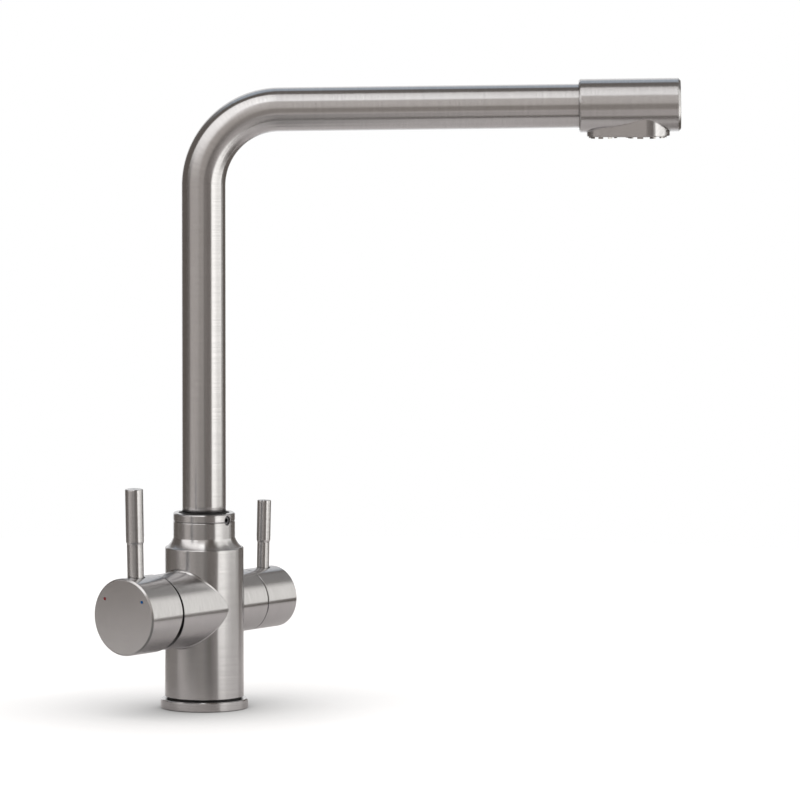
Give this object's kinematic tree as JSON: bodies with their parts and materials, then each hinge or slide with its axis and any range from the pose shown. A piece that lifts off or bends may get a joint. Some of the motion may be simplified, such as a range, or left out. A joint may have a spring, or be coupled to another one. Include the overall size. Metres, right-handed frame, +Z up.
{
  "type": "three way filtered water tap",
  "caption": "Tall kitchen tap with a swivelling bent spout, twin outlets in a thicker end, a mixer knob and a filtered water knob with upright pin levers.",
  "frame": {"origin": "centre of the tap hole on the worktop, in the plane of the base's underside", "axes": "+Z up along the body; the mixer knob is on -X and the filter knob on +X; the user stands at -Y"},
  "size_m": [0.253, 0.2444, 0.3603],
  "materials": {
    "brushed_stainless": "satin brushed stainless steel",
    "aerator_steel": "plated toothed rim",
    "brass": "turned brass",
    "black_rubber": "matte moulded rubber",
    "black_acetal": "moulded black plastic",
    "white_acetal": "moulded white plastic",
    "grey_plastic": "moulded grey plastic",
    "alumina": "lapped alumina ceramic",
    "hose_plastic": "extruded food grade plastic",
    "screw_steel": "dark socket screw steel",
    "red_enamel": "red enamel fill",
    "blue_enamel": "blue enamel fill"
  },
  "bodies": {
    "root": {"valve_body": "brushed_stainless", "base_ring": "brushed_stainless", "base_gasket": "black_rubber", "body_washer": "black_rubber", "neck_grub_screw": "screw_steel", "neck_wiper_ring": "black_rubber", "spout_slide_ring": "white_acetal", "mixer_cartridge_base": "grey_plastic", "mixer_cartridge_shell": "grey_plastic", "mixer_port_seals": "black_rubber", "mixer_fixed_disc": "alumina", "mixer_cartridge_nut": "brass", "mixer_dome": "black_acetal", "filter_headwork": "brass", "filter_headwork_washer": "black_rubber", "filter_seat_seal": "black_rubber", "filter_fixed_disc": "alumina"},
    "spout": {"spout_tube": "brushed_stainless", "spout_spigot": "brass", "spigot_o_rings": "black_rubber", "filtered_hose": "hose_plastic", "hose_ferrules": "screw_steel", "spout_head": "brushed_stainless", "head_core": "brass", "mains_aerator_shell": "aerator_steel", "mains_aerator_insert": "black_acetal", "mains_aerator_washer": "black_rubber", "filtered_aerator_shell": "aerator_steel", "filtered_aerator_insert": "black_acetal", "filtered_aerator_washer": "black_rubber"},
    "mixer_carrier": {"mixer_stem_collar": "white_acetal", "mixer_stem_pin": "screw_steel"},
    "mixer_disc": {"mixer_moving_disc": "alumina"},
    "mixer_handle": {"mixer_stem": "brass", "mixer_cap": "brushed_stainless", "mixer_lever": "brushed_stainless", "mixer_cap_screw": "screw_steel", "hot_mark": "red_enamel", "cold_mark": "blue_enamel"},
    "filter_handle": {"filter_spindle": "brass", "filter_spindle_seal": "black_rubber", "filter_moving_disc": "alumina", "filter_knob": "brushed_stainless", "filter_lever": "brushed_stainless", "filter_knob_screw": "screw_steel"}
  },
  "joints": [
    {"name": "spout_swivel", "type": "hinge", "parent": "root", "child": "spout", "pos_m": [0, 0, 0.1], "axis": [0, 0, 1], "continuous": true},
    {"name": "mixer_temperature", "type": "hinge", "parent": "root", "child": "mixer_carrier", "pos_m": [-0.029, 0, 0.0583], "axis": [1, 0, 0], "range_deg": [-45, 45]},
    {"name": "mixer_flow", "type": "hinge", "parent": "mixer_carrier", "child": "mixer_handle", "pos_m": [-0.029, 0, 0.0583], "axis": [0, -1, 0], "range_deg": [0, 12]},
    {"name": "mixer_disc_slide", "type": "slide", "parent": "mixer_carrier", "child": "mixer_disc", "axis": [0, 0, 1], "range_m": [0, 0.00095]},
    {"name": "filter_turn", "type": "hinge", "parent": "root", "child": "filter_handle", "pos_m": [0.04, 0, 0.0583], "axis": [1, 0, 0], "range_deg": [0, 90]}
  ],
  "couplings": [
    {"joint": "mixer_disc_slide", "follows": "mixer_flow", "m_per_rad": 0.0044}
  ]
}
